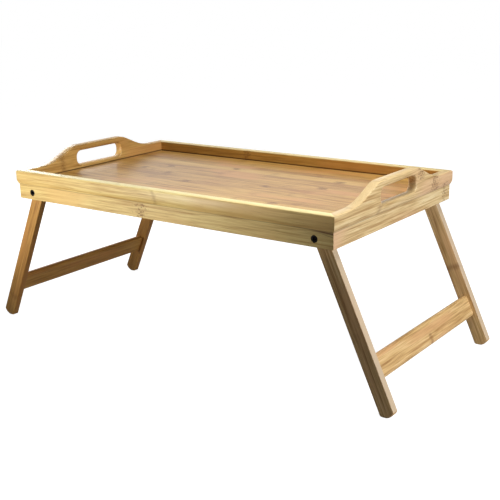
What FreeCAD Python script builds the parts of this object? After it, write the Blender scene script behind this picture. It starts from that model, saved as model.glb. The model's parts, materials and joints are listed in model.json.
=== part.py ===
import FreeCAD, Part
import math
import os

# Folding bed tray table in bamboo, in millimetres.
#
# Four moulded boards are mitred round a thin panel that sits in their grooves. The two end
# boards rise into a carrying handle with a hand hole. Under the tray two H-shaped leg frames
# hang on bolts through the long rails. They splay outward until each leg meets the bottom
# inner edge of its end board, and fold inward to lie flat under the panel.
#
# Origin: on the floor, under the middle of the tray. +X runs along the tray, -Y is the side
# that faces the user, +Z is up. The legs are drawn unfolded, as the tray stands.

# ---- Tray frame -------------------------------------------------------------------------
tray_length = 500.0        # over the rims of the end boards, along X
tray_width = 295.0         # over the rims of the long rails, along Y
rim_height = 221.0         # floor to the top of the rim
board_thickness = 12.5     # of every board at its rim
rim_bevel = 1.5            # bevel along the rim and over the handles
bottom_round = 1.0         # easing of the boards' bottom edges
band_drop = 18.6           # rim to the step of the moulding
band_recess = 2.5          # lower band set back behind the upper band
band_curve = 12.0          # radius of the upper band where it turns in to the step

# ---- Handles ----------------------------------------------------------------------------
crown_height = 19.9        # top of the handle above the rim
crown_flat = 84.0          # level stretch on top of the handle
crown_slope = 23.5         # degrees, fall of the handle's shoulders
shoulder_radius = 36.0     # where the level top turns down
sweep_radius = 100.0       # where the slope runs out into the rim
grip_bar = 8.5             # wood over the hand hole
grip_sill = 5.5            # wood between the tray surface and the hand hole
grip_length = 89.0         # hand hole, along Y
grip_corner = 8.5          # corner radius of the hand hole
grip_bevel = 2.2           # bevel of the hand hole's edges

# ---- Panel ------------------------------------------------------------------------------
panel_drop = 14.0          # rim to the tray surface
panel_thickness = 4.0
tongue_step = 1.6          # the panel's edge is this much thinner, from above
tongue_reach = 4.5         # how far the thin edge runs into the boards
groove_play = 0.5          # free depth behind the panel's edge
groove_slack = 0.2         # free height over the panel's edge
shadow_gap = 1.1           # between the raised field and the boards

# ---- Leg frames -------------------------------------------------------------------------
lean = 24.5                # degrees, legs from upright when unfolded
leg_width = 18.6
leg_thickness = 10.0
leg_bevel = 1.0            # of the legs' long edges
sole_radius = 13.0         # arc of the leg's lower end
sole_corner = 2.0          # rounding between that arc and the leg's sides
sole_flat = 0.5            # depth of the flat that stands on the floor
fold_clearance = 1.5       # folded leg to the underside of the panel
fold_tuck = 0.1            # folded leg above the bottom edges of the boards
stop_clearance = 0.1       # unfolded leg to the edge that it leans on
bar_width = 28.5           # cross bar, along the leg
bar_thickness = 9.0
bar_centre = 156.4         # from the pivot, along the leg
mortise_depth = 5.0
mortise_play = 0.1         # round the cross bar's end

# ---- Pivots -----------------------------------------------------------------------------
bolt_shank = 5.0           # diameter
bolt_head = 8.5            # diameter
bolt_head_height = 4.0
bolt_head_bevel = 0.4
bolt_head_sink = 0.6       # below the face of the rail
bolt_tail = 1.0            # past the lock nut
key_flats = 4.0            # six-sided socket in the head, across flats
key_depth = 2.4
head_play = 0.15           # round the bolt's head
shank_play = 0.1           # round the shank in the rail and the washers
running_play = 0.05        # round the shank in the leg, which turns on it
washer_diameter = 10.0
washer_thickness = 1.0
washer_play = 0.1          # between each washer and the leg
nut_flats = 8.0            # across flats
nut_height = 5.0           # with its locking ring

# ---- Values that follow from these ------------------------------------------------------
half_length = tray_length / 2
half_width = tray_width / 2
half_leg = leg_width / 2
lean_sine = math.sin(math.radians(lean))
lean_cosine = math.cos(math.radians(lean))

pivot_drop = panel_drop + panel_thickness + fold_clearance + half_leg
board_depth = pivot_drop + half_leg + fold_tuck
pivot_height = rim_height - pivot_drop
board_bottom = rim_height - board_depth

# The leg's side rests on the rounded edge under the end board, so the pivot's place along
# the tray follows from the lean.
stop_edge = half_length - board_thickness + bottom_round
stop_rise = (board_depth - pivot_drop - bottom_round) * lean_sine
stop_reach = half_leg + stop_clearance + bottom_round + stop_rise
pivot_offset = stop_edge - stop_reach / lean_cosine

# The arc of the sole is centred on the leg's middle line, and its lowest point, cut flat,
# stands on the floor.
sole_centre = (pivot_height + sole_flat - sole_radius) / lean_cosine

rail_inner = half_width - board_thickness
leg_outer = rail_inner - washer_thickness - washer_play
leg_inner = leg_outer - leg_thickness
nut_seat = leg_inner - washer_play - washer_thickness
head_seat = half_width - band_recess - bolt_head_sink - bolt_head_height
bolt_tip = nut_seat - nut_height - bolt_tail

OVERCUT = 1.0              # how far cutters stand out of what they cut
NEAR = 0.01                # tolerance for finding edges by their place


# ---- Drawing helpers --------------------------------------------------------------------
def vec(x, y, z):
    return FreeCAD.Vector(x, y, z)


def line(start, end):
    return Part.LineSegment(start, end).toShape()


def arc(start, middle, end):
    return Part.Arc(start, middle, end).toShape()


def chain(points):
    """Straight edges from each point to the next, closed."""
    return Part.makePolygon(points + points[:1]).Edges


def prism(edges, run):
    """Solid between a closed outline and its copy moved by run."""
    return Part.Face(Part.Wire(edges)).extrude(run)


def box(low, high):
    """Block between two opposite corners."""
    size = high - low
    return Part.makeBox(size.x, size.y, size.z, low)


def rod(diameter, start, end):
    """Round bar from start to end."""
    run = end - start
    return Part.makeCylinder(diameter / 2, run.Length, start, run)


def mirrored_y(shape):
    return shape.mirror(vec(0, 0, 0), vec(0, 1, 0))


def mirrored_x(shape):
    return shape.mirror(vec(0, 0, 0), vec(1, 0, 0))


def stadium(width, thickness, y):
    """Closed outline with round ends, its width along Z, in the plane at y."""
    half = thickness / 2
    straight = width / 2 - half
    return [
        line(vec(half, y, -straight), vec(half, y, straight)),
        arc(vec(half, y, straight), vec(0, y, straight + half), vec(-half, y, straight)),
        line(vec(-half, y, straight), vec(-half, y, -straight)),
        arc(vec(-half, y, -straight), vec(0, y, -straight - half), vec(half, y, -straight)),
    ]


def hexagon(flats, y):
    """Closed six-sided outline round the Y axis."""
    reach = flats / math.sqrt(3)
    turns = [math.radians(60 * step) for step in range(6)]
    return chain([vec(reach * math.cos(turn), y, reach * math.sin(turn)) for turn in turns])


# ---- Boards -----------------------------------------------------------------------------
# A board is drawn along X with its middle at x = 0, its outer face at y = 0, its inner face
# at y = board_thickness and its rim at z = 0, then turned and moved to its side of the tray.
def crown_edges():
    """Outline of the handle from the rim on the right over the top to the rim on the left."""
    slope = math.radians(crown_slope)
    rise = 1 - math.cos(slope)
    straight = crown_height - (shoulder_radius + sweep_radius) * rise
    flat_end = crown_flat / 2
    slope_top = flat_end + shoulder_radius * math.sin(slope)
    slope_foot = slope_top + straight / math.tan(slope)
    sweep_end = slope_foot + sweep_radius * math.sin(slope)
    half_rise = 1 - math.cos(slope / 2)
    half_run = math.sin(slope / 2)

    foot = vec(sweep_end, 0, 0)
    sweep = vec(sweep_end - sweep_radius * half_run, 0, sweep_radius * half_rise)
    low = vec(slope_foot, 0, sweep_radius * rise)
    high = vec(slope_top, 0, crown_height - shoulder_radius * rise)
    shoulder = vec(flat_end + shoulder_radius * half_run, 0, crown_height - shoulder_radius * half_rise)
    flat = vec(flat_end, 0, crown_height)

    def left(point):
        return vec(-point.x, point.y, point.z)

    return foot, left(foot), [
        arc(foot, sweep, low),
        line(low, high),
        arc(high, shoulder, flat),
        line(flat, left(flat)),
        arc(left(flat), left(shoulder), left(high)),
        line(left(high), left(low)),
        arc(left(low), left(sweep), left(foot)),
    ]


def board_blank(length, with_handle):
    """Square-ended board with a bevelled rim, before its moulding and groove."""
    end = length / 2 + OVERCUT
    right_top = vec(end, 0, 0)
    left_top = vec(-end, 0, 0)
    left_bottom = vec(-end, 0, -board_depth)
    right_bottom = vec(end, 0, -board_depth)
    rim = [line(right_top, left_top)]
    if with_handle:
        right_foot, left_foot, crown = crown_edges()
        rim = [line(right_top, right_foot)] + crown + [line(left_foot, left_top)]
    edges = rim + chain([left_top, left_bottom, right_bottom, right_top])[:3]
    blank = prism(edges, vec(0, board_thickness, 0))
    rims = [edge for edge in blank.Edges if runs_along_rim(edge)]
    return blank.makeChamfer(rim_bevel, rims)


def runs_along_rim(edge):
    """Whether an edge of a blank is one of the long ones at or above the rim."""
    span = edge.BoundBox
    return span.ZMin > -NEAR and span.YLength < NEAR and span.XLength > NEAR


def hand_hole():
    """Cutter for the hand hole."""
    top = crown_height - grip_bar
    bottom = grip_sill - panel_drop
    width = grip_length / 2
    low = vec(-width, -OVERCUT, bottom)
    high = vec(width, board_thickness + OVERCUT, top)
    block = box(low, high)
    corners = [edge for edge in block.Edges if edge.BoundBox.YLength > board_thickness]
    return block.makeFillet(grip_corner, corners)


def cut_hand_hole(board):
    """Board with the hand hole cut and its edges bevelled on both faces."""
    hole = hand_hole()
    span = hole.BoundBox
    board = board.cut(hole)
    mouth = []
    for edge in board.Edges:
        reach = edge.BoundBox
        inside_x = span.XMin - NEAR < reach.XMin and reach.XMax < span.XMax + NEAR
        inside_z = span.ZMin - NEAR < reach.ZMin and reach.ZMax < span.ZMax + NEAR
        if inside_x and inside_z and reach.YLength < NEAR:
            mouth.append(edge)
    return board.makeChamfer(grip_bevel, mouth)


def band_cutter(length):
    """What the moulding takes off the outer face, below where it turns in."""
    end = length / 2 + 2 * OVERCUT
    turn = math.acos(1 - band_recess / band_curve)
    start = -band_drop + band_curve * math.sin(turn)
    middle_in = band_curve * (1 - math.cos(turn / 2))
    middle_down = start - band_curve * math.sin(turn / 2)
    below = -board_depth - OVERCUT
    edges = [
        arc(vec(-end, 0, start), vec(-end, middle_in, middle_down), vec(-end, band_recess, -band_drop)),
        line(vec(-end, band_recess, -band_drop), vec(-end, band_recess, below)),
        line(vec(-end, band_recess, below), vec(-end, -OVERCUT, below)),
        line(vec(-end, -OVERCUT, below), vec(-end, -OVERCUT, start)),
        line(vec(-end, -OVERCUT, start), vec(-end, 0, start)),
    ]
    return prism(edges, vec(2 * end, 0, 0))


def groove_cutter(length):
    """The groove for the panel's thin edge, in the inner face."""
    end = length / 2 + 2 * OVERCUT
    bottom = -panel_drop - panel_thickness
    top = -panel_drop - tongue_step + groove_slack
    depth = board_thickness - tongue_reach - groove_play
    return box(vec(-end, depth, bottom), vec(end, board_thickness + OVERCUT, top))


def mitre_cutter(length):
    """Wedge that takes the board's right end off at 45 degrees."""
    end = length / 2
    inner = board_thickness + OVERCUT
    past = end + 4 * OVERCUT
    low = -board_depth - OVERCUT
    corners = [
        vec(end + OVERCUT, -OVERCUT, low),
        vec(past, -OVERCUT, low),
        vec(past, inner, low),
        vec(end - inner, inner, low),
    ]
    return prism(chain(corners), vec(0, 0, board_depth + crown_height + 2 * OVERCUT))


def moulded_board(length, with_handle):
    """Finished board in its own place, mitred at both ends."""
    board = board_blank(length, with_handle)
    if with_handle:
        board = cut_hand_hole(board)
    board = board.cut(band_cutter(length))
    bottoms = []
    for edge in board.Edges:
        span = edge.BoundBox
        if span.ZMax < NEAR - board_depth and span.XLength > length:
            bottoms.append(edge)
    board = board.makeFillet(bottom_round, bottoms)
    board = board.cut(groove_cutter(length))
    mitre = mitre_cutter(length)
    return board.cut(mitre).cut(mirrored_x(mitre))


def on_side(board, turn, shift):
    """Board turned about Z by turn degrees and moved to its side, with its rim in place."""
    board.rotate(vec(0, 0, 0), vec(0, 0, 1), turn)
    board.translate(shift + vec(0, 0, rim_height))
    return board


def rail(side):
    """Long rail on the front (-1) or the back (1), bored for its two pivot bolts."""
    turn = 0 if side < 0 else 180
    board = on_side(moulded_board(tray_length, False), turn, vec(0, side * half_width, 0))
    for end in (-1, 1):
        outside = vec(end * pivot_offset, side * (half_width + OVERCUT), pivot_height)
        seat = vec(end * pivot_offset, side * head_seat, pivot_height)
        inside = vec(end * pivot_offset, side * (rail_inner - OVERCUT), pivot_height)
        board = board.cut(rod(bolt_head + 2 * head_play, outside, seat))
        board = board.cut(rod(bolt_shank + 2 * shank_play, outside, inside))
    return board


def end_board(end):
    """Handle board on the left (-1) or the right (1)."""
    turn = -90 if end < 0 else 90
    return on_side(moulded_board(tray_width, True), turn, vec(end * half_length, 0, 0))


def tray_panel():
    """Panel with a raised field and a thin edge that sits in the grooves."""
    bottom = rim_height - panel_drop - panel_thickness
    shoulder = rim_height - panel_drop - tongue_step
    inside_x = half_length - board_thickness
    inside_y = half_width - board_thickness
    reach_x = inside_x + tongue_reach
    reach_y = inside_y + tongue_reach
    field_x = inside_x - shadow_gap
    field_y = inside_y - shadow_gap
    tongue = box(vec(-reach_x, -reach_y, bottom), vec(reach_x, reach_y, shoulder))
    top = rim_height - panel_drop
    field = box(vec(-field_x, -field_y, bottom), vec(field_x, field_y, top))
    return tongue.fuse(field).removeSplitter()


# ---- Leg frames -------------------------------------------------------------------------
# A leg is drawn hanging straight down from its pivot at the origin, in the place of the front
# right one, then swung out by the lean, moved to the pivot and mirrored to its corner.
def leg_outline(y):
    """Round head, straight sides and a shallow arc with rounded corners at the foot."""
    inner = half_leg - sole_corner
    drop = math.sqrt((sole_radius - sole_corner) ** 2 - inner ** 2)
    spread = sole_radius / (sole_radius - sole_corner)
    centre_z = -sole_centre
    side_z = centre_z - drop
    meet_x = inner * spread
    meet_z = centre_z - drop * spread
    half_turn = (math.atan2(-drop, inner)) / 2
    corner_x = inner + sole_corner * math.cos(half_turn)
    corner_z = side_z + sole_corner * math.sin(half_turn)
    tip_z = centre_z - sole_radius
    return [
        line(vec(half_leg, y, 0), vec(half_leg, y, side_z)),
        arc(vec(half_leg, y, side_z), vec(corner_x, y, corner_z), vec(meet_x, y, meet_z)),
        arc(vec(meet_x, y, meet_z), vec(0, y, tip_z), vec(-meet_x, y, meet_z)),
        arc(vec(-meet_x, y, meet_z), vec(-corner_x, y, corner_z), vec(-half_leg, y, side_z)),
        line(vec(-half_leg, y, side_z), vec(-half_leg, y, 0)),
        arc(vec(-half_leg, y, 0), vec(0, y, half_leg), vec(half_leg, y, 0)),
    ]


def unfolded(shape):
    """Shape swung out by the lean and moved from the origin to the right-hand pivot."""
    shape.rotate(vec(0, 0, 0), vec(0, 1, 0), -lean)
    shape.translate(vec(pivot_offset, 0, pivot_height))
    return shape


def front_right_leg():
    """Leg with its pivot bore, the mortise for the cross bar and a flat sole."""
    leg = prism(leg_outline(-leg_outer), vec(0, leg_thickness, 0))
    faces = [edge for edge in leg.Edges if edge.BoundBox.YLength < NEAR]
    leg = leg.makeChamfer(leg_bevel, faces)
    bore = bolt_shank + 2 * running_play
    leg = leg.cut(rod(bore, vec(0, -leg_outer - OVERCUT, 0), vec(0, -leg_inner + OVERCUT, 0)))
    width = bar_width + 2 * mortise_play
    thickness = bar_thickness + 2 * mortise_play
    floor = mortise_depth - leg_inner
    mortise = prism(stadium(width, thickness, -leg_inner + OVERCUT), vec(0, -mortise_depth - OVERCUT, 0))
    mortise.translate(vec(0, 0, -bar_centre))
    leg = unfolded(leg.cut(mortise))
    below = vec(-tray_length, -tray_width, -rim_height)
    return leg.cut(box(below, vec(tray_length, tray_width, 0)))


def right_cross_bar():
    """Bar with round edges whose ends sit on the floors of the two mortises."""
    end = leg_inner + mortise_depth
    bar = prism(stadium(bar_width, bar_thickness, -end), vec(0, 2 * end, 0))
    bar.translate(vec(0, 0, -bar_centre))
    return unfolded(bar)


# ---- Pivots -----------------------------------------------------------------------------
# Drawn along Y for the front right corner, with the axis at x = 0, z = 0.
def pivot_bolt():
    """Bolt with a sunk cylindrical head and a six-sided key socket."""
    top = head_seat + bolt_head_height
    head = rod(bolt_head, vec(0, -top, 0), vec(0, -head_seat, 0))
    rims = [edge for edge in head.Edges if edge.BoundBox.YMax < NEAR - top]
    head = head.makeChamfer(bolt_head_bevel, rims)
    socket = prism(hexagon(key_flats, -top - OVERCUT), vec(0, key_depth + OVERCUT, 0))
    shank = rod(bolt_shank, vec(0, -head_seat, 0), vec(0, -bolt_tip, 0))
    return head.cut(socket).fuse(shank)


def washer(seat):
    """Flat washer whose outer side lies at seat, measured from the tray's middle."""
    ring = rod(washer_diameter, vec(0, -seat, 0), vec(0, washer_thickness - seat, 0))
    hole = rod(bolt_shank + 2 * shank_play, vec(0, -seat - OVERCUT, 0), vec(0, OVERCUT - nut_seat, 0))
    return ring.cut(hole)


def lock_nut():
    """Six-sided lock nut, tight on the shank."""
    nut = prism(hexagon(nut_flats, -nut_seat), vec(0, nut_height, 0))
    end = nut_height - nut_seat
    return nut.cut(rod(bolt_shank, vec(0, -nut_seat - OVERCUT, 0), vec(0, end + OVERCUT, 0)))


# ---- Whole object -----------------------------------------------------------------------
def corner_copies(shape):
    """The front right shape's four copies, by the name of their corner."""
    left = mirrored_x(shape)
    return {
        "front_right": shape,
        "front_left": left,
        "back_right": mirrored_y(shape),
        "back_left": mirrored_y(left),
    }


def at_pivot(shape):
    shape.translate(vec(pivot_offset, 0, pivot_height))
    return shape


def nodes():
    """Every piece by its name."""
    pieces = {
        "front_rail": rail(-1),
        "back_rail": rail(1),
        "left_end_board": end_board(-1),
        "right_end_board": end_board(1),
        "tray_panel": tray_panel(),
    }
    bar = right_cross_bar()
    pieces["cross_bar_right"] = bar
    pieces["cross_bar_left"] = mirrored_x(bar)
    at_corners = {
        "leg": front_right_leg(),
        "pivot_bolt": at_pivot(pivot_bolt()),
        "outer_washer": at_pivot(washer(rail_inner)),
        "inner_washer": at_pivot(washer(nut_seat + washer_thickness)),
        "lock_nut": at_pivot(lock_nut()),
    }
    for name, shape in at_corners.items():
        for corner, copy in corner_copies(shape).items():
            pieces[name + "_" + corner] = copy
    return pieces


def main():
    os.makedirs("parts", exist_ok=True)
    for name, shape in nodes().items():
        solids = shape.Solids
        print(name, len(solids), shape.isValid(), round(shape.Volume / 1000, 3), "cm3")
        shape.exportStep("parts/" + name + ".step")


main()
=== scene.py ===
"""Looks of a folding bed tray table: bamboo, fasteners, floor, lamps and camera.

Everything is in metres. The origin is on the floor under the middle of the tray, +X runs along
the tray, -Y is the side that faces the user and +Z is up.
"""

from __future__ import annotations

import json
import logging
import math
from dataclasses import dataclass, field
from enum import Enum

import bmesh
import bpy
from bmesh.types import BMesh, BMEdge, BMVert
from mathutils import Matrix, Vector

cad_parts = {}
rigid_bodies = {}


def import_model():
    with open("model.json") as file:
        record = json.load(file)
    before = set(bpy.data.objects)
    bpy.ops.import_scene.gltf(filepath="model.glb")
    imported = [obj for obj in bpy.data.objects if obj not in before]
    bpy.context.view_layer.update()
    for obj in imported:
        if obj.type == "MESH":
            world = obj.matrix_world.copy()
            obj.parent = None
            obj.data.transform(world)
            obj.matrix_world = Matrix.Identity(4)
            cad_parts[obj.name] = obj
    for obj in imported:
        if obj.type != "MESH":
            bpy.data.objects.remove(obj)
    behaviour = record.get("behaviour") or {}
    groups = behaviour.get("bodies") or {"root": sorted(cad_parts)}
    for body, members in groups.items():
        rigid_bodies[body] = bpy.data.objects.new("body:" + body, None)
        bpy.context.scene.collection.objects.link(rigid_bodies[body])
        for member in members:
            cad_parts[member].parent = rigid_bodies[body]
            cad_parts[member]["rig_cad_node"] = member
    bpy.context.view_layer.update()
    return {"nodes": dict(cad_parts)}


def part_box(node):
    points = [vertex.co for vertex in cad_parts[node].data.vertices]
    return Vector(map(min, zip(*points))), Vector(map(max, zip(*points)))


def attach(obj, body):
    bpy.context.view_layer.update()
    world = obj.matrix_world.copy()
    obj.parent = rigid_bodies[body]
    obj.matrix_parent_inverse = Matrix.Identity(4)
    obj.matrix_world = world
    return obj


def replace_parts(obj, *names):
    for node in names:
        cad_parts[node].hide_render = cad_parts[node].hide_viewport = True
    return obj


LOG = logging.getLogger("bed_tray_table")
Triple = tuple[float, float, float]
Colour = Triple
Socket = bpy.types.NodeSocket
MM = 0.001
NEAR = 1e-6
WHITE = (1.0, 1.0, 1.0)
X_AXIS = Vector((1, 0, 0))
Y_AXIS = Vector((0, 1, 0))
Z_AXIS = Vector((0, 0, 1))


# ---- Shader graphs ----------------------------------------------------------------------
def linear_channel(value: int) -> float:
    """One channel of 0 to 255, as seen on a screen, in linear light."""
    share = value / 255
    return share / 12.92 if share <= 0.04045 else ((share + 0.055) / 1.055) ** 2.4


def linear(red: int, green: int, blue: int) -> Colour:
    """A colour of 0 to 255 per channel in linear light."""
    return linear_channel(red), linear_channel(green), linear_channel(blue)


class Graph:
    """Adds and links the shader nodes of one material or of the world."""

    def __init__(self, tree: bpy.types.NodeTree) -> None:
        """Starts from an empty node tree."""
        self.tree = tree
        tree.nodes.clear()

    def node(self, kind: str, inputs: dict | None = None, **settings: object) -> bpy.types.Node:
        """Adds a node.

        Args:
            kind: the node's type without the word ShaderNode.
            inputs: socket name or number to a value or an output to link.
            **settings: properties of the node.

        Returns:
            The new node.
        """
        made = self.tree.nodes.new("ShaderNode" + kind)
        for key, value in settings.items():
            setattr(made, key, value)
        for key, value in (inputs or {}).items():
            self.feed(made.inputs[key], value)
        return made

    def feed(self, socket: Socket, value: object) -> None:
        """Links an output to the socket, or sets its plain value.

        Args:
            socket: an input.
            value: an output, a number, a vector or a colour.
        """
        if isinstance(value, Socket):
            self.tree.links.new(value, socket)
        elif socket.type == "RGBA" and len(value) == 3:
            socket.default_value = (*value, 1.0)
        else:
            socket.default_value = value

    def maths(self, operation: str, *values: object) -> Socket:
        """Combines numbers.

        Args:
            operation: the name of the Math node's operation.
            *values: plain numbers or outputs, in the operation's order.

        Returns:
            The output with the result.
        """
        return self.node("Math", dict(enumerate(values)), operation=operation).outputs[0]

    def chained(self, operation: str, *values: object) -> Socket:
        """Combines two or more numbers by one operation, from left to right.

        Args:
            operation: the name of the Math node's operation.
            *values: plain numbers or outputs.

        Returns:
            The output with the result.
        """
        result = values[0]
        for value in values[1:]:
            result = self.maths(operation, result, value)
        return result

    def total(self, *values: object) -> Socket:
        """Sums numbers or outputs."""
        return self.chained("ADD", *values)

    def product(self, *values: object) -> Socket:
        """Multiplies numbers or outputs."""
        return self.chained("MULTIPLY", *values)

    def greatest(self, *values: object) -> Socket:
        """Keeps the greatest of some numbers or outputs."""
        return self.chained("MAXIMUM", *values)

    def swing(self, share: Socket, size: float) -> Socket:
        """Turns a share of 0 to 1 into a change of up to half the size either way."""
        return self.product(self.maths("SUBTRACT", share, 0.5), size)

    def distance(self, value: Socket, start: object) -> Socket:
        """How far a value lies from start, either way."""
        return self.maths("ABSOLUTE", self.maths("SUBTRACT", value, start))

    def along_axis(self, place: Socket, axis: Vector) -> Socket:
        """Measures how far a place lies along an axis."""
        dot = self.node("VectorMath", {0: place, 1: tuple(axis)}, operation="DOT_PRODUCT")
        return dot.outputs["Value"]

    def vector(self, *parts: object) -> Socket:
        """Joins three numbers or outputs into a vector."""
        return self.node("CombineXYZ", dict(enumerate(parts))).outputs[0]

    def noise(self, place: Socket, waves: Triple, detail: float = 2.0) -> Socket:
        """Smooth noise, about 0.5 in the middle.

        Args:
            place: where it is read.
            waves: its waves per metre along each axis of place.
            detail: finer layers on top.

        Returns:
            The output with the noise.
        """
        scaled = self.node("VectorMath", {0: place, 1: waves}, operation="MULTIPLY").outputs[0]
        inputs = {"Vector": scaled, "Scale": 1.0, "Detail": detail, "Roughness": 0.55}
        return self.node("TexNoise", inputs, noise_dimensions="3D").outputs["Fac"]

    def fade(self, value: object, full: float, none: float) -> Socket:
        """Runs smoothly from 1 where the value is full to 0 where it is none.

        Args:
            value: the output to read.
            full: value at which the result is 1.
            none: value at which the result is 0.

        Returns:
            The output with the share.
        """
        inputs = {"Value": value, "From Min": none, "From Max": full}
        made = self.node("MapRange", inputs, interpolation_type="SMOOTHSTEP", clamp=True)
        return made.outputs["Result"]

    def blend(self, share: object, first: object, second: object) -> Socket:
        """Mixes two colours.

        Args:
            share: 0 for the first colour, 1 for the second.
            first: a colour or an output.
            second: a colour or an output.

        Returns:
            The output with the colour.
        """
        made = self.node("Mix", data_type="RGBA")
        for name, value in (("Factor_Float", share), ("A_Color", first), ("B_Color", second)):
            self.feed(next(s for s in made.inputs if s.identifier == name), value)
        return next(s for s in made.outputs if s.identifier == "Result_Color")

    def ramp(self, share: Socket, stops: list[tuple[float, Colour]]) -> Socket:
        """Colours a share of 0 to 1.

        Args:
            share: the output to read.
            stops: shares and their colours.

        Returns:
            The output with the colour.
        """
        made = self.node("ValToRGB", {"Fac": share})
        elements = made.color_ramp.elements
        while len(elements) < len(stops):
            elements.new(1.0)
        for element, (position, colour) in zip(elements, stops):
            element.position = position
            element.color = (*colour, 1.0)
        return made.outputs["Color"]

    def looked_at(self, gloss: float) -> Socket:
        """Marks the rays by which the camera sees a surface.

        Args:
            gloss: the mark of rays that come by a reflection.

        Returns:
            The output, which is 1 for straight rays and through glass, and 0 for diffuse rays.
        """
        path = self.node("LightPath")
        return self.greatest(
            path.outputs["Is Camera Ray"],
            path.outputs["Is Transmission Ray"],
            self.product(path.outputs["Is Glossy Ray"], gloss),
        )


def new_graph(name: str) -> tuple[bpy.types.Material, Graph]:
    """Makes an empty material.

    Args:
        name: the material's name.

    Returns:
        The material and its graph.
    """
    material = bpy.data.materials.new(name)
    material.use_nodes = True
    return material, Graph(material.node_tree)


# ---- Bamboo -----------------------------------------------------------------------------
# Waves per metre along, across and through the grain.
SWAY = (14, 60, 60)           # bends of the fibres
BROAD = (11, 330, 330)        # streaks a few millimetres wide
FINE = (30, 1000, 1000)       # single fibres
VESSELS = (50, 1700, 1700)    # dark pores, drawn out along the grain
SPECKLES = (300, 480, 480)    # dots round a knuckle

# Waves per metre along the grain, from strip to strip and across the grain.
TONE = (7, 1, 30)             # long changes of tone within a strip
ROSY = (9, 1.3, 12)           # pinkish stretches
STRIP_STEP = 3.7              # how far apart neighbouring strips read these two

# Levels of noise where a mark is full and where it is gone.
VESSEL_LEVELS = (0.74, 0.6)
SPECKLE_LEVELS = (0.57, 0.5)
ROSY_LEVELS = (0.72, 0.5)
SPECKLE_THINNING = 0.16       # how far the speckles' noise sinks as they thin out

# Distances.
SWAY_REACH = 2.4 * MM         # that the fibres bend to and fro
SEAM_WIDTH = 0.35 * MM        # of the dark line on either side of a seam
LOOSE_WANDER = 24 * MM        # that an unplaced knuckle strays along the grain
LOOSE_REACH = 18 * MM         # of its speckles

# Depths of dark marks and shares of tints, from 0 to 1.
SEAM_DEPTH = 0.22
VESSEL_DEPTH = 0.3
LOOSE_BAND = 0.5
DARKEST = 0.95
# Share of the painted highlight on the top and outer faces.
PAINTED_HIGHLIGHT_SHARE = 0.85
ROSY_SHARE = 0.75

# Tone of the wood, from pale to brown.
MIDDLE_TONE = 0.45
TONE_SWING = 0.7
BROAD_SWING = 1.3
FINE_SWING = 0.9
SHADED_TONE = 0.25            # added to the tone as painted shade
TONE_STOPS = (0.1, 0.5, 1.0)  # of the pale, tan and brown colours

# Height of the grain in the bump, and changes of roughness.
FIBRE_RELIEF = 0.6
BROAD_RELIEF = 0.5
MARK_SINK = 0.3               # how much lower dark marks lie
FIBRE_ROUGHNESS = 0.2         # swing from fibre to fibre
MARK_ROUGHNESS = 0.1          # added on dark marks

STRIP_SEED = 0.37             # keeps the random seed of every strip off a whole number
STRIP_SHIFT = 7.3             # knuckle spacings between the least and the most shifted strip
PAINTED_HIGHLIGHT = "rubbed"             # mesh attribute: 1 on faces that get a painted highlight


@dataclass(frozen=True)
class Grain:
    """Directions of one board's wood.

    Attributes:
        along: unit vector along the fibres.
        across: unit vector over the strips' width.
        seam: where one seam between two strips lies, across the grain.
    """

    along: Vector
    across: Vector
    seam: float = 0.0

    def depth(self) -> Vector:
        """Unit vector through the strips' thickness."""
        return self.along.cross(self.across)


@dataclass(frozen=True)
class Fibres:
    """Outputs that all the marks in one board's material read.

    Attributes:
        graph: the material's graph.
        along: place along the grain.
        across: place across the grain.
        through: place through the board.
        sway: slow noise that bends the fibres.
        fine: noise of single fibres.
        speckles: noise of the dots round a knuckle.
        strip: number of the strip.
        chance: random share of the strip.
        seam: share of dark line between strips.
        bent: place along, across and through the grain, bent by the sway.
    """

    graph: Graph
    along: Socket
    across: Socket
    through: Socket
    sway: Socket
    fine: Socket
    speckles: Socket
    strip: Socket
    chance: Socket
    seam: Socket
    bent: Socket

    @classmethod
    def laid(cls, graph: Graph, grain: Grain, strip_width: float) -> Fibres:
        """Lays the fibres of a board.

        Args:
            graph: the material's graph.
            grain: directions of the wood.
            strip_width: width of one strip.

        Returns:
            The outputs.
        """
        place = graph.node("TexCoord").outputs["Object"]
        along = graph.along_axis(place, grain.along)
        across = graph.along_axis(place, grain.across)
        through = graph.along_axis(place, grain.depth())
        straight = graph.vector(along, across, through)
        sway = graph.noise(straight, SWAY, 1.0)
        bent = graph.vector(along, graph.total(across, graph.swing(sway, SWAY_REACH)), through)

        strip_place = graph.maths("DIVIDE", graph.maths("SUBTRACT", across, grain.seam), strip_width)
        strip = graph.maths("FLOOR", strip_place)
        seed = {"W": graph.total(strip, STRIP_SEED)}
        chance = graph.node("TexWhiteNoise", seed, noise_dimensions="1D")
        off_middle = graph.distance(graph.maths("FRACT", strip_place), 0.5)
        seam = graph.fade(off_middle, 0.5, 0.5 - SEAM_WIDTH / strip_width)
        return cls(
            graph=graph, along=along, across=across, through=through, sway=sway, strip=strip,
            chance=chance.outputs["Value"], seam=seam, bent=bent, fine=graph.noise(bent, FINE),
            speckles=graph.noise(straight, SPECKLES, 1.0),
        )

    def knuckle(self, offset: Socket, reach: float, band: float, dots: float) -> Socket:
        """Draws a dark band with speckles that thin out on both sides.

        Args:
            offset: distance from the band's middle.
            reach: how far the speckles go.
            band: how dark the band is, 0 to 1.
            dots: how dark the speckles are, 0 to 1.

        Returns:
            The output with the share of dark mark.
        """
        graph = self.graph
        close = graph.fade(offset, 0.0, reach)
        thinned = graph.product(graph.maths("SUBTRACT", close, 1.0), SPECKLE_THINNING)
        speckled = graph.fade(graph.total(self.speckles, thinned), *SPECKLE_LEVELS)
        return graph.greatest(
            graph.product(graph.fade(offset, 0.0, 0.5 * reach), band),
            graph.product(speckled, close, dots),
        )


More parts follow.
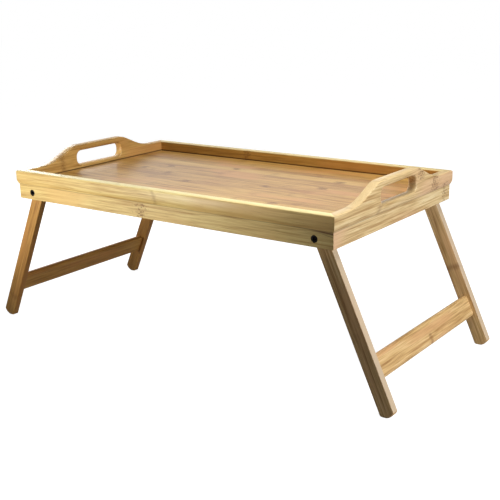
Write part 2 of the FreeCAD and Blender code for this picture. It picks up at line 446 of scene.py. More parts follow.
@dataclass(frozen=True)
class Knuckle:
    """Growth joint of the cane where it crosses one strip.

    Attributes:
        along: place along the grain.
        low: where the mark begins across the grain.
        high: where it ends across the grain.
        band: how dark the band across the strip is, 0 to 1.
        dots: how dark the speckles beside it are, 0 to 1.
        reach: how far the speckles go to either side, along the grain.
        edge: width over which the mark fades in and out across the grain.
        wander: how far it strays along the grain.
    """

    along: float
    low: float
    high: float
    band: float = 0.3
    dots: float = 0.5
    reach: float = 13 * MM
    edge: float = 1.2 * MM
    wander: float = 16 * MM

    def mask(self, fibres: Fibres) -> Socket:
        """Marks the knuckle.

        Args:
            fibres: the board's fibres.

        Returns:
            The output with the share of dark mark.
        """
        graph = fibres.graph
        inside = graph.product(
            graph.fade(fibres.across, self.low + self.edge, self.low),
            graph.fade(fibres.across, self.high - self.edge, self.high),
        )
        place = graph.total(fibres.along, graph.swing(fibres.sway, self.wander))
        offset = graph.distance(place, self.along)
        return graph.product(inside, fibres.knuckle(offset, self.reach, self.band, self.dots))


@dataclass(frozen=True)
class Streak:
    """Dark line that runs nearly with the grain.

    Attributes:
        start: where it fades in, along the grain.
        end: where it is fully dark.
        across: its place across the grain at start.
        drift: metres it moves across for each metre along.
        width: half its width.
        depth: how dark it is, 0 to 1.
        wobble: how far single fibres push it to and fro.
    """

    start: float
    end: float
    across: float
    drift: float
    width: float
    depth: float
    wobble: float = 0.8 * MM

    def mask(self, fibres: Fibres) -> Socket:
        """Marks the line.

        Args:
            fibres: the board's fibres.

        Returns:
            The output with the share of dark line.
        """
        graph = fibres.graph
        drifted = graph.product(graph.maths("SUBTRACT", fibres.along, self.start), self.drift)
        centre = graph.total(self.across, drifted, graph.swing(fibres.fine, self.wobble))
        line = graph.fade(graph.distance(fibres.across, centre), 0.0, self.width)
        return graph.product(line, graph.fade(fibres.along, self.end, self.start), self.depth)


@dataclass(frozen=True)
class PaintedShadowLine:
    """Painted shadow: a dark hairline along the grain on one face, where two surfaces meet.

    Attributes:
        across: its place across the grain.
        face: place of the face through the board.
        width: half its width.
        depth: how dark it is, 0 to 1.
        reach: how far from the face it shows in full.
        core: share of the width that is fully dark.
        tail: how far from the face it is gone, as a multiple of the reach.
    """

    across: float
    face: float
    width: float = 1.0 * MM
    depth: float = 0.8
    reach: float = 1.5 * MM
    core: float = 0.4
    tail: float = 1.4

    def mask(self, fibres: Fibres) -> Socket:
        """Marks the painted shadow line.

        Args:
            fibres: the board's fibres.

        Returns:
            The output with the share of painted shadow.
        """
        graph = fibres.graph
        off_line = graph.distance(fibres.across, self.across)
        off_face = graph.distance(fibres.through, self.face)
        line = graph.fade(off_line, self.core * self.width, self.width)
        near = graph.fade(off_face, self.reach, self.tail * self.reach)
        return graph.product(line, near, self.depth)


@dataclass(frozen=True)
class Bamboo:
    """Lacquered laminated bamboo.

    Attributes:
        pale: lightest strips.
        tan: middle tone.
        brown: darkest fibres.
        blush: tint of the pinkish stretches.
        mark: colour of knuckles, seams and streaks.
        shadow: colour of the painted shadow in the creases.
        rubbed: colour of the painted highlight, where the mesh attribute of that name is 1.
        strip: width of one strip.
        strip_contrast: how much strips differ from each other.
        streak_contrast: how strongly the streaks of the grain show.
        knuckle_spacing: mean distance between unplaced knuckles, or 0 for none.
        knuckle_depth: how dark the unplaced knuckles are.
        shaded: across the grain, from where to where painted shade turns the strips browner, or
            nothing.
        roughness: of the wood.
        coat: share of gloss from the lacquer.
    """

    pale: Colour
    tan: Colour
    brown: Colour
    blush: Colour
    mark: Colour = linear(112, 66, 30)
    shadow: Colour = linear(52, 30, 10)
    rubbed: Colour = linear(255, 240, 176)
    strip: float = 19 * MM
    strip_contrast: float = 0.35
    streak_contrast: float = 1.0
    knuckle_spacing: float = 0.0
    knuckle_depth: float = 0.3
    shaded: tuple[float, float] | None = None
    roughness: float = 0.5
    coat: float = 0.0

    def material(
        self, name: str, grain: Grain, marks: tuple[Knuckle | Streak, ...] = (),
        painted_shadows: tuple[PaintedShadowLine, ...] = (),
    ) -> bpy.types.Material:
        """Builds the material of one board.

        Args:
            name: the material's name.
            grain: directions of the board's wood.
            marks: growth joints and dark lines that this board shows.
            painted_shadows: painted shadow lines on its faces.

        Returns:
            The material.
        """
        material, graph = new_graph(name)
        fibres = Fibres.laid(graph, grain, self.strip)
        broad = graph.noise(fibres.bent, BROAD)
        vessels = graph.noise(fibres.bent, VESSELS, 1.0)
        masks = [
            graph.product(fibres.seam, SEAM_DEPTH),
            graph.product(graph.fade(vessels, *VESSEL_LEVELS), VESSEL_DEPTH),
            *(mark.mask(fibres) for mark in marks),
        ]
        if self.knuckle_spacing:
            masks.append(self._loose_knuckles(fibres))
        dark = graph.maths("MINIMUM", graph.greatest(*masks), DARKEST)
        # Painted highlight on the faces that carry the attribute.
        rubbed = graph.node("Attribute", attribute_name=PAINTED_HIGHLIGHT).outputs["Fac"]
        wood = self._wood(fibres, broad)
        wood = graph.blend(graph.product(rubbed, PAINTED_HIGHLIGHT_SHARE), wood, self.rubbed)
        colour = graph.blend(dark, wood, self.mark)
        # Painted shadow along the creases.
        for painted_shadow in painted_shadows:
            colour = graph.blend(painted_shadow.mask(fibres), colour, self.shadow)

        relief = graph.total(
            graph.swing(fibres.fine, FIBRE_RELIEF), graph.swing(broad, BROAD_RELIEF)
        )
        height = graph.maths("SUBTRACT", relief, graph.product(dark, MARK_SINK))
        bump = graph.node("Bump", {"Height": height, "Strength": 0.25, "Distance": 0.12 * MM})
        rough = graph.total(
            self.roughness,
            graph.swing(fibres.fine, FIBRE_ROUGHNESS),
            graph.product(dark, MARK_ROUGHNESS),
        )
        shader = graph.node("BsdfPrincipled", {
            "Base Color": colour,
            "Roughness": rough,
            "Specular IOR Level": 0.3,
            "Coat Weight": self.coat,
            "Coat Roughness": 0.25,
            "Normal": bump.outputs[0],
        })
        graph.node("OutputMaterial", {"Surface": shader.outputs[0]})
        return material

    def _wood(self, fibres: Fibres, broad: Socket) -> Socket:
        """Colour of the wood without its marks, with painted shade where the finish has it.

        Args:
            fibres: the board's fibres.
            broad: noise of the wide streaks.

        Returns:
            The output with the colour.
        """
        graph = fibres.graph
        apart = graph.product(fibres.strip, STRIP_STEP)
        strips = graph.vector(fibres.along, apart, fibres.across)
        tone = graph.total(
            MIDDLE_TONE,
            graph.swing(fibres.chance, self.strip_contrast),
            graph.swing(graph.noise(strips, TONE), TONE_SWING),
            graph.swing(broad, BROAD_SWING * self.streak_contrast),
            graph.swing(fibres.fine, FINE_SWING * self.streak_contrast),
        )
        if self.shaded:
            start, end = self.shaded
            # Painted shade: browner from start to end across the grain.
            tone = graph.total(tone, graph.product(graph.fade(fibres.across, end, start), SHADED_TONE))
        wood = graph.ramp(tone, list(zip(TONE_STOPS, (self.pale, self.tan, self.brown))))
        rosy = graph.fade(graph.noise(strips, ROSY, 1.0), *ROSY_LEVELS)
        return graph.blend(graph.product(rosy, ROSY_SHARE), wood, self.blush)

    def _loose_knuckles(self, fibres: Fibres) -> Socket:
        """Draws faint knuckles at their own places in every strip.

        Args:
            fibres: the board's fibres.

        Returns:
            The output with the share of dark mark.
        """
        graph = fibres.graph
        pace = graph.maths("DIVIDE", fibres.along, self.knuckle_spacing)
        shifted = graph.maths("FRACT", graph.total(pace, graph.product(fibres.chance, STRIP_SHIFT)))
        to_middle = graph.swing(shifted, self.knuckle_spacing)
        offset = graph.distance(graph.total(to_middle, graph.swing(fibres.sway, LOOSE_WANDER)), 0.0)
        marks = fibres.knuckle(offset, LOOSE_REACH, LOOSE_BAND, 1.0)
        return graph.product(marks, self.knuckle_depth)


# ---- Metals and plastic -----------------------------------------------------------------
# Waves per metre along X, Y and Z.
SPOTS = (420, 420, 420)          # worn spots
SCRATCHES = (2600, 300, 2600)    # turning marks

SPOT_LEVELS = (0.75, 0.45)       # of noise where a spot is full and where it is gone
SCRATCH_SWING = 0.35             # of the roughness


@dataclass(frozen=True)
class FastenerFinish:
    """Finish of a small turned or pressed part of a fastener.

    Attributes:
        colour: of the surface.
        worn: colour of the worn spots.
        metallic: 1 for bare metal, less for a coating, 0 for plastic.
        roughness: mean roughness.
    """

    colour: Colour
    worn: Colour
    metallic: float
    roughness: float

    def material(self, name: str) -> bpy.types.Material:
        """Builds the material, with faint turning marks and worn spots.

        Args:
            name: the material's name.

        Returns:
            The material.
        """
        material, graph = new_graph(name)
        place = graph.node("TexCoord").outputs["Object"]
        spots = graph.noise(place, SPOTS, 3.0)
        scratches = graph.noise(place, SCRATCHES)
        bump = graph.node("Bump", {"Height": scratches, "Strength": 0.12, "Distance": 0.03 * MM})
        shader = graph.node("BsdfPrincipled", {
            "Base Color": graph.blend(graph.fade(spots, *SPOT_LEVELS), self.colour, self.worn),
            "Metallic": self.metallic,
            "Roughness": graph.total(self.roughness, graph.swing(scratches, SCRATCH_SWING)),
            "Normal": bump.outputs[0],
        })
        graph.node("OutputMaterial", {"Surface": shader.outputs[0]})
        return material


BLACK_OXIDE = FastenerFinish(linear(22, 20, 19), linear(44, 41, 39), metallic=0.9, roughness=0.5)
ZINC = FastenerFinish(linear(176, 178, 180), linear(206, 206, 202), metallic=1.0, roughness=0.34)
NYLON = FastenerFinish(linear(214, 214, 206), linear(196, 194, 184), metallic=0.0, roughness=0.5)

BOARD_BAMBOO = Bamboo(
    pale=linear(238, 213, 142),
    tan=linear(224, 194, 124),
    brown=linear(184, 144, 78),
    blush=linear(222, 182, 112),
    streak_contrast=1.2,
    coat=0.1,
)
# Darker, browner copy of the board wood: painted shade on the back rail.
SHADED_BACK_BAMBOO = Bamboo(
    pale=linear(216, 172, 92),
    tan=linear(196, 148, 70),
    brown=linear(152, 106, 42),
    blush=linear(194, 136, 66),
    rubbed=linear(250, 230, 165),
    coat=0.3,
)
# Darker, browner copy of the board wood: painted shade on the left end board.
SHADED_LEFT_BAMBOO = Bamboo(
    pale=linear(222, 188, 118),
    tan=linear(204, 163, 92),
    brown=linear(162, 118, 58),
    blush=linear(204, 150, 88),
    rubbed=linear(214, 172, 104),
    # Painted shade over the upper part of the handle.
    shaded=(222 * MM, 238 * MM),
    coat=0.3,
)
END_BAMBOO = Bamboo(
    pale=linear(236, 213, 164),
    tan=linear(218, 188, 134),
    brown=linear(176, 138, 84),
    blush=linear(222, 180, 140),
    rubbed=linear(236, 206, 150),
    streak_contrast=1.6,
    coat=0.5,
)
PANEL_BAMBOO = Bamboo(
    pale=linear(222, 182, 106),
    tan=linear(208, 162, 86),
    brown=linear(160, 110, 46),
    blush=linear(210, 152, 90),
    strip_contrast=0.6,
    streak_contrast=1.2,
    knuckle_spacing=0.23,
    knuckle_depth=0.3,
    # Painted shade towards the back of the panel.
    shaded=(20 * MM, 110 * MM),
    coat=0.4,
)
# Darker, browner copy of the leg wood: painted shade on the left frame.
SHADED_LEFT_LEG_BAMBOO = Bamboo(
    pale=linear(206, 160, 90),
    tan=linear(188, 138, 66),
    brown=linear(144, 96, 38),
    blush=linear(188, 130, 66),
    rubbed=linear(212, 176, 124),
    strip=9.3 * MM,
    strip_contrast=0.2,
)
RIGHT_LEG_BAMBOO = Bamboo(
    pale=linear(226, 194, 144),
    tan=linear(208, 172, 116),
    brown=linear(160, 118, 68),
    blush=linear(210, 164, 116),
    rubbed=linear(218, 200, 172),
    strip=9.3 * MM,
    strip_contrast=0.2,
    streak_contrast=1.3,
)


# ---- Mesh helpers -----------------------------------------------------------------------
FLAT = 0.3                    # degrees: faces that turn by less are one face
SIDEWAYS = 0.1                # a normal with less of a direction than this is square to it


class Body(Enum):
    """Rigid groups of the table."""

    TRAY = "tray"
    LEFT_FRAME = "left_leg_frame"
    RIGHT_FRAME = "right_leg_frame"


class Side(Enum):
    """Ends of the tray, by the sign of X."""

    LEFT = -1
    RIGHT = 1


@dataclass(frozen=True)
class Corner:
    """One of the tray's four corners.

    Attributes:
        end: left or right.
        depth: -1 at the front, 1 at the back.
    """

    end: Side
    depth: int

    @property
    def label(self) -> str:
        """The corner's name in node names."""
        return ("front_" if self.depth < 0 else "back_") + self.end.name.lower()


CORNERS = [Corner(end, depth) for depth in (-1, 1) for end in Side]


def middle_of(node: str) -> Vector:
    """Middle of a node's box."""
    low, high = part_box(node)
    return (low + high) / 2


def new_piece(
    name: str, mesh: BMesh, body: Body, material: bpy.types.Material, sharp: float = 35.0
) -> bpy.types.Object:
    """Turns a finished bmesh into a piece that rides on a body.

    Args:
        name: the piece's name.
        mesh: its geometry, in place. It is freed.
        body: what it moves with.
        material: its finish.
        sharp: edges that turn by more than this are shaded sharp, in degrees.

    Returns:
        The new object.
    """
    bmesh.ops.recalc_face_normals(mesh, faces=mesh.faces)
    data = bpy.data.meshes.new(name)
    mesh.to_mesh(data)
    mesh.free()
    data.materials.append(material)
    data.shade_smooth()
    data.set_sharp_from_angle(angle=math.radians(sharp))
    piece = bpy.data.objects.new(name, data)
    bpy.context.scene.collection.objects.link(piece)
    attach(piece, body.value)
    LOG.info("%s: %d faces on %s", name, len(data.polygons), body.value)
    return piece


@dataclass(frozen=True)
class Easing:
    """Softening of a wooden piece's edges.

    The solid model's bevels are shaded as roundings, and square edges get a small rounding of
    their own.

    Attributes:
        width: of the rounding of square edges.
        segments: faces across it.
        square: edges that turn by more than this count as square, in degrees.
    """

    width: float = 0.35 * MM
    segments: int = 2
    square: float = 55.0

    def copy_of(
        self, node: bpy.types.Object, name: str, body: Body, slot: str, material: bpy.types.Material
    ) -> bpy.types.Object:
        """Makes a merged copy of a node with eased edges, which stands for it.

        Args:
            node: the node that is copied.
            name: the new piece's name.
            body: what it moves with.
            slot: not used.
            material: its finish.

        Returns:
            The new object.
        """
        mesh = bmesh.new()
        mesh.from_mesh(node.data)
        bmesh.ops.remove_doubles(mesh, verts=mesh.verts, dist=NEAR)
        bmesh.ops.dissolve_limit(
            mesh, angle_limit=math.radians(FLAT), use_dissolve_boundaries=False,
            verts=mesh.verts, edges=mesh.edges, delimit=set(),
        )
        piece = new_piece(name, mesh, body, material, self.square)
        bevel = piece.modifiers.new("eased_edges", "BEVEL")
        bevel.width = self.width
        bevel.segments = self.segments
        bevel.limit_method = "ANGLE"
        bevel.angle_limit = math.radians(self.square)
        normals = piece.modifiers.new("flat_faces", "WEIGHTED_NORMAL")
        normals.keep_sharp = True
        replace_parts(piece, node["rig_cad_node"])
        return piece


def mark_painted_highlight(piece: bpy.types.Object, grain: Grain, least: float, beyond: float) -> None:
    """Gives a piece the attribute that is 1 on the narrow faces that look across its grain, where a
    highlight is painted.

    Args:
        piece: the piece.
        grain: directions of its wood.
        least: smallest share of grain.across in the normal of a marked face.
        beyond: place across the grain past which faces are marked.
    """
    mesh = bmesh.new()
    mesh.from_mesh(piece.data)
    layer = mesh.verts.layers.float.new(PAINTED_HIGHLIGHT)
    for face in mesh.faces:
        narrow = abs(face.normal.dot(grain.depth())) < SIDEWAYS
        looks_across = face.normal.dot(grain.across) > least
        if narrow and looks_across and face.calc_center_median().dot(grain.across) > beyond:
            for vert in face.verts:
                vert[layer] = 1.0
    mesh.to_mesh(piece.data)
    mesh.free()


def ring_edges(verts: list[BMVert]) -> list[BMEdge]:
    """Edges of the closed loop that these vertices make."""
    chosen = set(verts)
    return [e for e in {e for v in verts for e in v.link_edges} if chosen.issuperset(e.verts)]


def circle(mesh: BMesh, diameter: float, height: float, sides: int = 48) -> list[BMVert]:
    """Adds a loop of vertices round Z.

    Args:
        mesh: the mesh that gets it.
        diameter: across its corners.
        height: where it lies.
        sides: how many it has.

    Returns:
        Its vertices.
    """
    made = bmesh.ops.create_circle(mesh, cap_ends=False, segments=sides, radius=diameter / 2)
    bmesh.ops.translate(mesh, verts=made["verts"], vec=(0, 0, height))
    return made["verts"]


def joined(mesh: BMesh, first: list[BMVert], second: list[BMVert]) -> None:
    """Closes the band between two loops."""
    bmesh.ops.bridge_loops(mesh, edges=ring_edges(first) + ring_edges(second))


def drawn(mesh: BMesh, loop: list[BMVert], diameter: float, height: float) -> list[BMVert]:
    """Extrudes a loop round Z to a new diameter and height.

    Args:
        mesh: the mesh that holds the loop.
        loop: its vertices.
        diameter: across the new loop's corners.
        height: of the new loop.

    Returns:
        The new loop's vertices.
    """
    made = bmesh.ops.extrude_edge_only(mesh, edges=ring_edges(loop))
    fresh = [part for part in made["geom"] if isinstance(part, BMVert)]
    now = fresh[0].co.xy.length * 2
    bmesh.ops.scale(mesh, verts=fresh, vec=(diameter / now, diameter / now, 1))
    bmesh.ops.translate(mesh, verts=fresh, vec=(0, 0, height - fresh[0].co.z))
    return fresh


def turned(mesh: BMesh, profile: list[tuple[float, float]]) -> None:
    """Adds a closed ring turned round Z.

    Args:
        mesh: the mesh that gets it.
        profile: diameter and height of each corner of its section.
    """
    first = circle(mesh, *profile[0])
    loop = first
    for diameter, height in profile[1:]:
        loop = drawn(mesh, loop, diameter, height)
    joined(mesh, loop, first)


# ---- Tray -------------------------------------------------------------------------------
@dataclass
class Tray:
    """Four mitred boards round a panel.

    Attributes:
        nodes: the solid model's nodes by name.
        band: height of the upper strip, from the rim to the moulding's step.
        gap: height of the painted shadow over the panel.
        smudge: half the width of a smudged knuckle on the panel.
        easing: of the boards' edges.
        bottom: height of the rails' lower edge.
        rim: height of their upper edge.
        step: height of the moulding's step.
        crown: height of the handles.
    """

    nodes: dict[str, bpy.types.Object]
    band: float = 18.6 * MM
    gap: float = 0.6 * MM
    smudge: float = 6 * MM
    easing: Easing = Easing()
    bottom: float = field(init=False)
    rim: float = field(init=False)
    step: float = field(init=False)
    crown: float = field(init=False)

    def __post_init__(self) -> None:
        """Reads the heights from the solid model."""
        self.bottom, self.rim = (corner.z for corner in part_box("front_rail"))
        self.step = self.rim - self.band
        self.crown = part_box("right_end_board")[1].z

    def build(self) -> None:
        """Builds and dresses the boards and the panel."""
        self._rails()
        self._end_boards()
        self._panel()

    def _rails(self) -> None:
        """Long rails, with the grain along X."""
        grain = Grain(X_AXIS, Z_AXIS, self.step)
        front_marks = (
            Knuckle(-4 * MM, self.step, self.rim, band=0.32, dots=0.3, reach=10 * MM),
            Knuckle(-28 * MM, self.bottom, self.step, band=0.15, dots=0.7, reach=20 * MM),
            Streak(208 * MM, 236 * MM, self.step, -0.05, 1.7 * MM, 0.9),
            Streak(222 * MM, 246 * MM, self.step - 1.2 * MM, -0.17, 1.0 * MM, 0.6),
        )
        back_marks = (
            Knuckle(-70 * MM, self.step, self.rim, band=0.25, dots=0.6, reach=16 * MM),
            Knuckle(96 * MM, self.bottom, self.step),
        )
        self._board("front_rail", BOARD_BAMBOO, grain, front_marks)
        self._board("back_rail", SHADED_BACK_BAMBOO, grain, back_marks)

    def _end_boards(self) -> None:
        """Handle boards, with the grain along Y."""
        grain = Grain(Y_AXIS, Z_AXIS, self.step)
        above = self.rim + 3 * MM
        right_marks = (
            Knuckle(56 * MM, above, self.crown, band=0.2, dots=0.75, reach=20 * MM),
            Knuckle(96 * MM, self.step, above, band=0.2, dots=0.75, reach=22 * MM),
            Knuckle(128 * MM, self.bottom, self.step + 8 * MM, band=0.1, dots=0.6, reach=18 * MM),
            Knuckle(-50 * MM, self.step, self.rim - 6 * MM, band=0.35, dots=0.3, reach=14 * MM),
        )
        left_marks = (
            Knuckle(-72 * MM, self.step + 6 * MM, self.crown, band=0.35, dots=0.5, reach=14 * MM),
            Knuckle(58 * MM, self.bottom, self.step, band=0.25),
        )
        self._board("right_end_board", END_BAMBOO, grain, right_marks)
        self._board("left_end_board", SHADED_LEFT_BAMBOO, grain, left_marks)

    def _panel(self) -> None:
        """Panel of strips that run along X, with smudged knuckles at a few places."""
        smudges = (
            (-163, 15), (-139, 40), (-110, 3), (-53, -31), (-41, 69),
            (63, -6), (122, -80), (131, 20), (134, 62),
        )
        marks = tuple(
            Knuckle(
                x * MM, y * MM - self.smudge, y * MM + self.smudge, band=0.6, dots=0.7, reach=20 * MM
            )
            for x, y in smudges
        )
        wood = PANEL_BAMBOO.material("tray_panel_wood", Grain(X_AXIS, Y_AXIS), marks)
        panel = self.nodes["tray_panel"]
        self.easing.copy_of(panel, "tray_panel_board", Body.TRAY, "strip_bamboo", wood)

    def _board(
        self, node: str, finish: Bamboo, grain: Grain, marks: tuple[Knuckle | Streak, ...]
    ) -> None:
        """Dresses one rail or end board in its own wood.

        Args:
            node: the board's node.
            finish: its wood.
            grain: directions of the wood.
            marks: growth joints and dark lines that it shows.
        """
        faces = sorted((grain.depth().dot(corner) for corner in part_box(node)), key=abs)
        # Painted shadows: a dark line on the inner face just over the panel, and a fainter one under
        # the moulding's step outside.
        shadow_over_panel = PaintedShadowLine(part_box("tray_panel")[1].z + self.gap, faces[0], width=1.2 * MM)
        shade_under_step = PaintedShadowLine(self.step, faces[1], width=0.7 * MM, depth=0.35, reach=3 * MM)
        wood = finish.material(node + "_wood", grain, marks, (shadow_over_panel, shade_under_step))
        piece = self.easing.copy_of(
            self.nodes[node], node + "_board", Body.TRAY, "moulded_bamboo", wood
        )
        # Painted highlight on the upward faces: rim, crown and the hand hole's sill.
        mark_painted_highlight(piece, grain, least=0.3, beyond=self.step + MM)


# ---- Leg frames -------------------------------------------------------------------------
@dataclass
class LegFrame:
    """Two splayed legs and the bar between them.

    Attributes:
        nodes: the solid model's nodes by name.
        side: end of the tray that the frame stands under.
        lean: legs from upright, in degrees.
        leg: a little more than half a leg's width.
        bar: the same for the cross bar.
        easing: of the long edges.
    """

    nodes: dict[str, bpy.types.Object]
    side: Side
    lean: float = 24.5
    leg: float = 10 * MM
    bar: float = 20 * MM
    easing: Easing = Easing()

    def build(self) -> None:
        """Builds and dresses the two legs and the cross bar."""
        lean = math.radians(self.lean)
        down = Vector((self.side.value * math.sin(lean), 0, -math.cos(lean)))
        outward = Vector((self.side.value * math.cos(lean), 0, math.sin(lean)))
        self._legs(down, outward)
        self._bar(down)

    def _legs(self, down: Vector, outward: Vector) -> None:
        """Front and back leg, with the grain along them and a painted highlight on the outer face.

        Args:
            down: unit vector along the legs.
            outward: unit vector square to it, away from the tray's middle.
        """
        pivot = middle_of("pivot_bolt_front_" + self.side.name.lower())
        pivot.y = 0
        start = down.dot(pivot)
        middle = outward.dot(pivot)
        whole_width = (middle - self.leg, middle + self.leg)
        marks = {
            "leg_back_right": (Knuckle(start + 104 * MM, *whole_width, band=0.5, dots=0.4),),
            "leg_front_left": (Knuckle(start + 176 * MM, *whole_width, band=0.3, dots=0.3),),
        }
        grain = Grain(down, outward, middle)
        for depth in ("front", "back"):
            node = f"leg_{depth}_{self.side.name.lower()}"
            # Painted highlight on each leg's outer face.
            mark_painted_highlight(self._post(node, grain, marks.get(node, ())), grain, least=0.99, beyond=middle)

    def _bar(self, down: Vector) -> None:
        """Cross bar, with the grain along Y.

        Args:
            down: unit vector along the legs.
        """
        node = "cross_bar_" + self.side.name.lower()
        centre = down.dot(middle_of(node))
        knuckle = Knuckle(2 * MM, centre, centre + self.bar, band=0.5, dots=0.5)
        marks = (knuckle,) if self.side is Side.RIGHT else ()
        self._post(node, Grain(Y_AXIS, down, centre), marks)

    def _post(self, node: str, grain: Grain, marks: tuple[Knuckle, ...]) -> bpy.types.Object:
        """Dresses one leg or bar.

        Args:
            node: its node.
            grain: directions of the wood.
            marks: growth joints that it shows.

        Returns:
            The new object.
        """
        finish = SHADED_LEFT_LEG_BAMBOO if self.side is Side.LEFT else RIGHT_LEG_BAMBOO
        wood = finish.material(node + "_wood", grain, marks)
        body = Body[self.side.name + "_FRAME"]
        return self.easing.copy_of(self.nodes[node], node + "_post", body, "leg_bamboo", wood)


# ---- Pivots -----------------------------------------------------------------------------
CORNERS_PER_FLATS = 2 / math.sqrt(3)    # width of a hexagon across its corners, by that across flats


@dataclass
class PivotSet:
    """Bolt, two washers and lock nut at one corner.

    Each part is drawn round Z with the outside of the tray up, at its distance from the tray's
    middle, and is then laid along Y.

    Attributes:
        corner: where the set stands.
        finishes: materials by slot name.
        head: diameter of the bolt's head.
        head_height: from its seat to its top.
        bevel: of the head's rim.
        shank: diameter of its shank.
        pitch: of its thread.
        threaded: length of the thread, from the tip.
        key: width across the flats of the key socket.
        key_depth: depth of the socket.
        washer: outer diameter of the washers.
        roll: rounding of the washers' edges.
        flats: of the nut.
        chamfer: of the nut's corners.
        collar: diameter of the nut's locking collar.
        collar_height: how far the collar stands over the six sides.
        lip: thickness of the collar's edge, which is turned in over the ring.
        ring_play: between the nylon ring and the shank, across both sides.
        ring_sunk: how deep the ring lies in the collar.
        ring_height: of what shows of the ring.
    """

    corner: Corner
    finishes: dict[str, bpy.types.Material]
    head: float = 8.5 * MM
    head_height: float = 4 * MM
    bevel: float = 0.4 * MM
    shank: float = 5 * MM
    pitch: float = 0.8 * MM
    threaded: float = 7 * MM
    key: float = 4 * MM
    key_depth: float = 2.4 * MM
    washer: float = 10 * MM
    roll: float = 0.2 * MM
    flats: float = 8 * MM
    chamfer: float = 0.5 * MM
    collar: float = 7.2 * MM
    collar_height: float = 1.4 * MM
    lip: float = 0.5 * MM
    ring_play: float = 0.1 * MM
    ring_sunk: float = 0.15 * MM
    ring_height: float = 0.23 * MM

    def build(self) -> None:
        """Builds the set's four parts and the ring in its nut."""
        self._washer("outer_washer")
        self._washer("inner_washer")
        self._bolt()
        self._nut()
        self._nylon_ring()

    def _reach(self, part: str) -> tuple[float, float]:
        """Inner and outer distance of a part from the tray's middle, along Y."""
        low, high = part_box(f"{part}_{self.corner.label}")
        return tuple(sorted((abs(low.y), abs(high.y))))

    def _laid(self, part: str, mesh: BMesh, finish: str) -> bpy.types.Object:
        """Lays a part along Y at the pivot.

        Args:
            part: the part's name without its corner.
            mesh: its geometry round Z.
            finish: name of its finish.

        Returns:
            The new object.
        """
        pivot = middle_of(f"pivot_bolt_{self.corner.label}")
        turn = Matrix.Rotation(math.radians(-90 * self.corner.depth), 4, "X")
        shift = Matrix.Translation((pivot.x, 0, pivot.z))
        bmesh.ops.transform(mesh, matrix=shift @ turn, verts=mesh.verts)
        name = f"{part}_{self.corner.label}_piece"
        return new_piece(name, mesh, Body.TRAY, self.finishes[finish])

    def _stand_in(self, part: str, mesh: BMesh, slot: str) -> None:
        """Lays a part at the pivot, where it stands for its node."""
        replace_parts(self._laid(part, mesh, slot), f"{part}_{self.corner.label}")

    def _washer(self, part: str) -> None:
        """Flat washer with a rolled outer edge.

        Args:
            part: its name without its corner.
        """
        inner, outer = self._reach(part)
        roll = self.roll
        hole = self.shank + roll
        mesh = bmesh.new()
        turned(mesh, [
            (hole, inner + roll / 2),
            (hole + roll, inner),
            (self.washer - 2 * roll, inner),
            (self.washer - roll / 2, inner + roll / 3),
            (self.washer, inner + roll),
            (self.washer, outer - roll / 3),
            (self.washer - roll / 2, outer),
            (hole + roll, outer),
            (hole, outer - roll / 2),
        ])
        self._stand_in(part, mesh, "plated_washer")

    def _bolt(self) -> None:
        """Bolt with a key socket, an eased head and a thread towards its tip."""
        tip, top = self._reach("pivot_bolt")
        seat = top - self.head_height
        socket_floor = top - self.key_depth
        mesh = bmesh.new()
        rim = circle(mesh, self.head - 2 * self.bevel, top)
        key_corners = self.key * CORNERS_PER_FLATS
        socket = circle(mesh, key_corners, top, 6)
        joined(mesh, rim, socket)
        floor = drawn(mesh, socket, key_corners, socket_floor)
        floor = drawn(mesh, floor, self.key / 4, socket_floor - self.key / 4)
        bmesh.ops.contextual_create(mesh, geom=ring_edges(floor))
        loop = drawn(mesh, rim, self.head - self.bevel / 2, top - self.bevel / 3)
        loop = drawn(mesh, loop, self.head, top - self.bevel)
        loop = drawn(mesh, loop, self.head, seat)
        loop = drawn(mesh, loop, self.shank, seat)
        loop = drawn(mesh, loop, self.shank, tip + self.threaded)
        for turn in range(int(self.threaded / self.pitch) - 1):
            crest = tip + self.threaded - turn * self.pitch
            loop = drawn(mesh, loop, self.shank - self.pitch, crest - 0.5 * self.pitch)
            loop = drawn(mesh, loop, self.shank, crest - 0.9 * self.pitch)
            loop = drawn(mesh, loop, self.shank, crest - self.pitch)
        loop = drawn(mesh, loop, self.shank - self.pitch, tip)
        bmesh.ops.contextual_create(mesh, geom=ring_edges(loop))
        self._stand_in("pivot_bolt", mesh, "black_bolt")

    def _nut(self) -> None:
        """Six-sided lock nut with eased corners and a collar."""
        inner, outer = self._reach("lock_nut")
        shoulder_height = inner + self.collar_height
        corners = self.flats * CORNERS_PER_FLATS
        mesh = bmesh.new()
        bore = circle(mesh, self.shank, outer)
        face = circle(mesh, self.flats - self.chamfer, outer)
        joined(mesh, bore, face)
        rim = circle(mesh, corners, outer - self.chamfer, 6)
        joined(mesh, face, rim)
        low_rim = drawn(mesh, rim, corners, shoulder_height + self.chamfer)
        shoulder = circle(mesh, self.flats - self.chamfer, shoulder_height)
        joined(mesh, low_rim, shoulder)
        lip = self.lip
        loop = drawn(mesh, shoulder, self.collar, shoulder_height)
        loop = drawn(mesh, loop, self.collar, inner + lip)
        loop = drawn(mesh, loop, self.collar - lip, inner + 0.2 * lip)
        loop = drawn(mesh, loop, self.collar - 2 * lip, inner)
        loop = drawn(mesh, loop, self.collar - 2.2 * lip, inner + 0.8 * lip)
        loop = drawn(mesh, loop, self.shank, inner + 0.8 * lip)
        joined(mesh, loop, bore)
        self._stand_in("lock_nut", mesh, "plated_nut")

    def _nylon_ring(self) -> None:
        """Locking ring inside the nut's collar."""
        top = self._reach("lock_nut")[0] + self.ring_sunk
        foot = top + self.ring_height
        bore = self.shank + self.ring_play
        outside = self.collar - 2.4 * self.lip
        ring = bmesh.new()
        turned(ring, [
            (bore, foot),
            (bore + 2 * self.ring_play, top),
            (outside - self.ring_play, top),
            (outside, foot),
        ])
        self._laid("nylon_ring", ring, "nylon")


# ---- Stage ------------------------------------------------------------------------------
class LampKind(Enum):
    """Shapes of studio lamp."""

    SOFTBOX = "AREA"
    SPOT = "SPOT"


